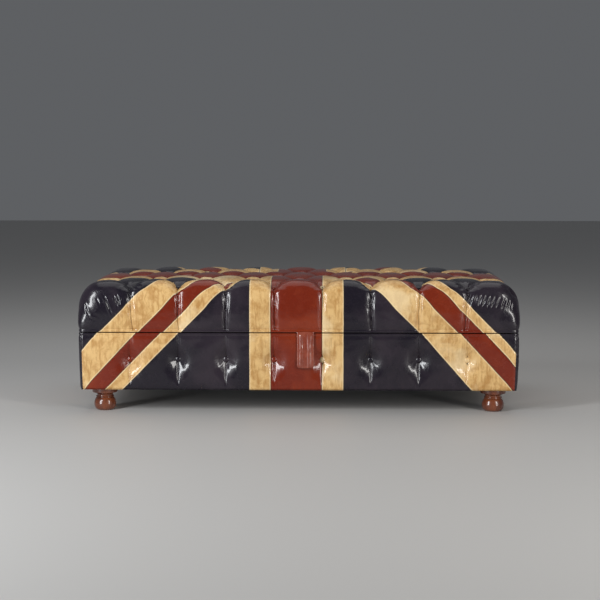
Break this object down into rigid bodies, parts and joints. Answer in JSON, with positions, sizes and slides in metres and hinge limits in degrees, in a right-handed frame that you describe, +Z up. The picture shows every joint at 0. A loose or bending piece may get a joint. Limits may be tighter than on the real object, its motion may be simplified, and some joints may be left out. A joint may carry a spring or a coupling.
{
  "type": "storage ottoman",
  "caption": "Long tufted leather storage ottoman with a flag-pattern patchwork cover, a hinged lid on gas struts, a front pull tab and turned bun feet.",
  "frame": {"origin": "middle of the footprint, on the floor under the feet", "axes": "+X along the length, the front with the pull tab faces -Y, +Z up"},
  "size_m": [1.5, 0.637, 0.45],
  "materials": {
    "board_wood": "raw plywood and softwood",
    "padding": "upholstery foam",
    "navy_leather": "glossy crinkled",
    "cream_leather": "aged, mottled, satin",
    "red_leather": "smooth, satin gloss",
    "lining_cloth": "woven black cloth",
    "turned_mahogany": "polished",
    "steel_hardware": "bright zinc",
    "brass_hinges": "satin",
    "black_paint": "satin"
  },
  "bodies": {
    "base": {"front_board": "board_wood", "back_board": "board_wood", "left_end_board": "board_wood", "right_end_board": "board_wood", "bottom_board": "board_wood", "bottom_braces": "board_wood", "corner_blocks": "board_wood", "base_foam_front": "padding", "base_foam_back": "padding", "base_foam_left": "padding", "base_foam_right": "padding", "base_leather_navy": "navy_leather", "base_leather_cream": "cream_leather", "base_leather_red": "red_leather", "base_front_buttons": "cream_leather", "base_back_buttons": "cream_leather", "base_end_buttons": "navy_leather", "base_button_ties": "lining_cloth", "base_lining_walls": "lining_cloth", "base_lining_floor": "lining_cloth", "dust_cover": "lining_cloth", "foot_front_left": "turned_mahogany", "foot_front_right": "turned_mahogany", "foot_back_left": "turned_mahogany", "foot_back_right": "turned_mahogany", "foot_bolts": "steel_hardware", "foot_tee_nuts": "steel_hardware", "hinge_base_leaves": "brass_hinges", "hinge_pins": "steel_hardware", "hinge_base_screws": "steel_hardware", "strut_base_brackets": "steel_hardware", "base_bracket_screws": "steel_hardware"},
    "lid": {"hinge_lid_leaves": "brass_hinges", "hinge_lid_screws": "steel_hardware", "strut_lid_brackets": "steel_hardware", "lid_bracket_screws": "steel_hardware", "lid_deck_board": "board_wood", "lid_rail_front": "board_wood", "lid_rail_back": "board_wood", "lid_rail_left": "board_wood", "lid_rail_right": "board_wood", "lid_foam_top": "padding", "lid_foam_front": "padding", "lid_foam_back": "padding", "lid_foam_left": "padding", "lid_foam_right": "padding", "lid_leather_navy": "navy_leather", "lid_leather_cream": "cream_leather", "lid_leather_red": "red_leather", "lid_buttons": "red_leather", "lid_button_ties": "lining_cloth", "lid_lining": "lining_cloth", "lid_bumpers": "lining_cloth", "pull_tab_anchor": "red_leather"},
    "pull_tab": {"pull_tab": "red_leather"},
    "left_strut_tube": {"left_strut_tube": "black_paint"},
    "left_strut_rod": {"left_strut_rod": "steel_hardware"},
    "right_strut_tube": {"right_strut_tube": "black_paint"},
    "right_strut_rod": {"right_strut_rod": "steel_hardware"}
  },
  "joints": [
    {"name": "lid_hinge", "type": "hinge", "parent": "base", "child": "lid", "pos_m": [0, 0.3145, 0.2745], "axis": [-1, 0, 0], "range_deg": [0, 70]},
    {"name": "pull_tab_hinge", "type": "hinge", "parent": "lid", "child": "pull_tab", "pos_m": [0.025, -0.3145, 0.275], "axis": [-1, 0, 0], "range_deg": [0, 150]},
    {"name": "left_strut_swing", "type": "hinge", "parent": "base", "child": "left_strut_tube", "pos_m": [-0.69, 0.172, 0.174], "axis": [-1, 0, 0], "range_deg": [0, 17.48]},
    {"name": "left_strut_slide", "type": "slide", "parent": "left_strut_tube", "child": "left_strut_rod", "axis": [0, 0.3525, 0.9358], "range_m": [0, 0.09617]},
    {"name": "right_strut_swing", "type": "hinge", "parent": "base", "child": "right_strut_tube", "pos_m": [0.69, 0.172, 0.174], "axis": [-1, 0, 0], "range_deg": [0, 17.48]},
    {"name": "right_strut_slide", "type": "slide", "parent": "right_strut_tube", "child": "right_strut_rod", "axis": [0, 0.3525, 0.9358], "range_m": [0, 0.09617]}
  ],
  "couplings": [
    {"joint": "left_strut_swing", "follows": "lid_hinge", "ratio": 0.24903},
    {"joint": "left_strut_slide", "follows": "lid_hinge", "m_per_rad": 0.078467},
    {"joint": "right_strut_swing", "follows": "lid_hinge", "ratio": 0.24903},
    {"joint": "right_strut_slide", "follows": "lid_hinge", "m_per_rad": 0.078467}
  ]
}
